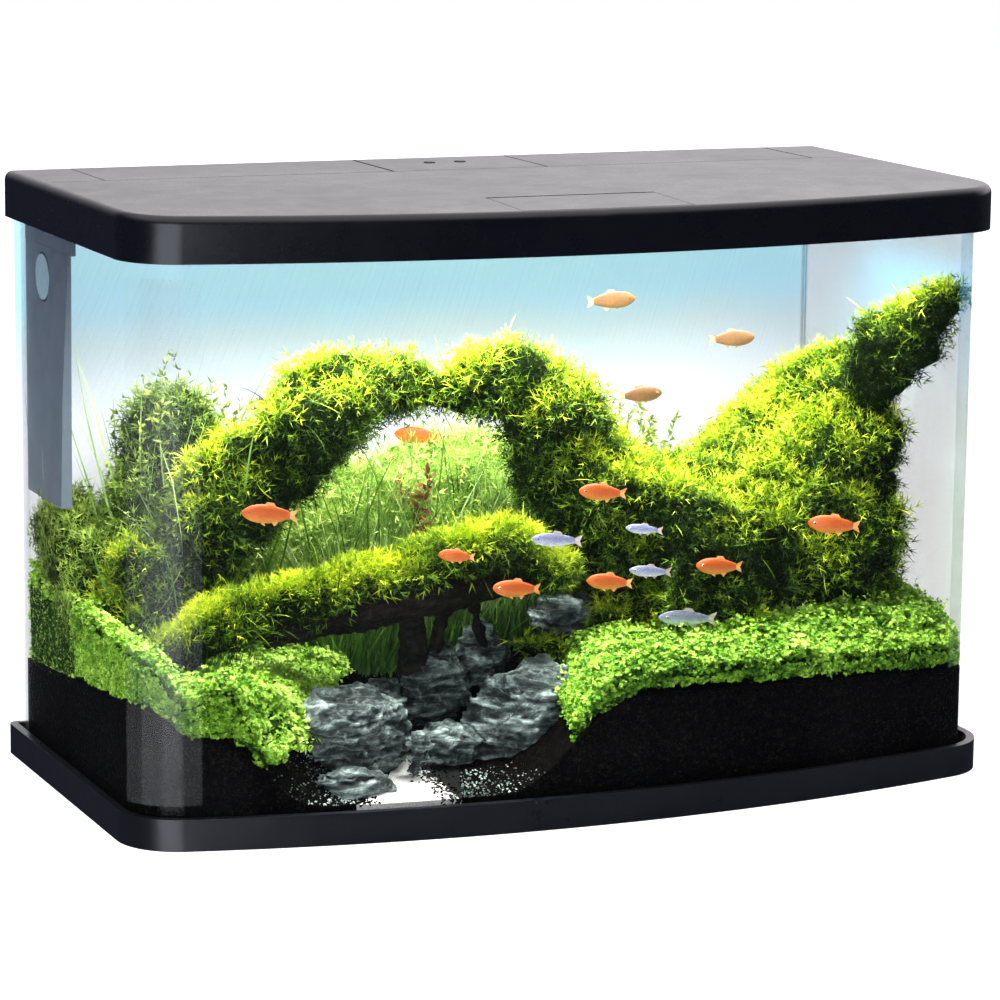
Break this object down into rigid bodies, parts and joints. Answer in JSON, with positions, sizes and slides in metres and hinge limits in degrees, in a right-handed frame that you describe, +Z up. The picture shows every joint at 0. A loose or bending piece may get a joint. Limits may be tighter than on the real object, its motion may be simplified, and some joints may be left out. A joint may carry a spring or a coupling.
{
  "type": "planted aquarium tank",
  "caption": "Bow-front glass aquarium on a plastic base, with a hinged light hood, service covers, feeding hatch, corner filter and a planted aquascape.",
  "frame": {"origin": "centre of the base's underside, on the surface that the tank stands on", "axes": "+X to the right along the tank's length, +Y to the rear, +Z up"},
  "size_m": [0.62, 0.3272, 0.407],
  "materials": {
    "hood_plastic": "satin black-violet moulded plastic",
    "inner_plastic": "matte black",
    "light_plastic": "matte white",
    "clear_glass": "clear float glass",
    "seal_silicone": "dark silicone",
    "backdrop": "satin printed film",
    "filter_plastic": "blue-grey satin",
    "cup_rubber": "translucent pale rubber",
    "sponge": "open-cell foam",
    "steel": "polished",
    "shaft_ceramic": "ground",
    "board": "lacquered board",
    "diffuser": "frosted diffuser",
    "soil": "granular aquasoil",
    "sand": "fine white sand",
    "stone": "rough veined slate",
    "driftwood": "waterlogged root",
    "moss": "feathery moss",
    "carpet_plant": "small round leaves",
    "grass": "thin blades"
  },
  "bodies": {
    "root": {"base_frame": "hood_plastic", "bottom_glass": "clear_glass", "front_glass": "clear_glass", "rear_glass": "clear_glass", "corner_silicone": "seal_silicone", "bottom_silicone": "seal_silicone", "backdrop_film": "backdrop", "top_rim": "inner_plastic", "hinge_brackets": "inner_plastic", "hinge_pins": "steel", "filter_housing": "filter_plastic", "filter_cap": "filter_plastic", "suction_cup": "cup_rubber", "filter_sponge": "sponge", "pump_body": "inner_plastic", "pump_cover": "inner_plastic", "impeller_shaft": "shaft_ceramic", "soil_left": "soil", "soil_right": "soil", "sand_path": "sand", "stones_left": "stone", "stones_right": "stone", "driftwood": "driftwood", "moss_arch": "moss", "moss_mound": "moss", "moss_branch": "moss", "carpet_left": "carpet_plant", "carpet_right": "carpet_plant", "stem_plants": "grass", "hair_grass": "grass"},
    "impeller": {"impeller": "light_plastic"},
    "hood": {"hood_shell": "hood_plastic", "hinge_arms": "inner_plastic", "control_panel": "hood_plastic", "switch_board": "board", "led_housing": "light_plastic", "led_board": "light_plastic", "led_lens": "diffuser", "led_screws": "steel", "hatch_rod": "steel", "power_inlet": "inner_plastic"},
    "feed_hatch": {"feed_hatch": "hood_plastic"},
    "left_cover": {"left_cover": "hood_plastic"},
    "right_cover": {"right_cover": "hood_plastic"},
    "day_button": {"day_button": "inner_plastic"},
    "night_button": {"night_button": "inner_plastic"}
  },
  "joints": [
    {"name": "hood_hinge", "type": "hinge", "parent": "root", "child": "hood", "pos_m": [0, 0.161, 0.3771], "axis": [-1, 0, 0], "range_deg": [0, 80]},
    {"name": "hatch_hinge", "type": "hinge", "parent": "hood", "child": "feed_hatch", "pos_m": [0, -0.0954, 0.40365], "axis": [-1, 0, 0], "range_deg": [0, 90]},
    {"name": "left_cover_lift", "type": "slide", "parent": "hood", "child": "left_cover", "axis": [0, 0, 1], "range_m": [0, 0.06]},
    {"name": "right_cover_lift", "type": "slide", "parent": "hood", "child": "right_cover", "axis": [0, 0, 1], "range_m": [0, 0.06]},
    {"name": "day_button_press", "type": "slide", "parent": "hood", "child": "day_button", "axis": [0, 0, -1], "range_m": [0, 0.0015], "stiffness_N_per_m": 400},
    {"name": "night_button_press", "type": "slide", "parent": "hood", "child": "night_button", "axis": [0, 0, -1], "range_m": [0, 0.0015], "stiffness_N_per_m": 400},
    {"name": "impeller_spin", "type": "hinge", "parent": "root", "child": "impeller", "pos_m": [-0.2869, 0.13, 0.21], "axis": [0, 0, 1], "continuous": true}
  ]
}
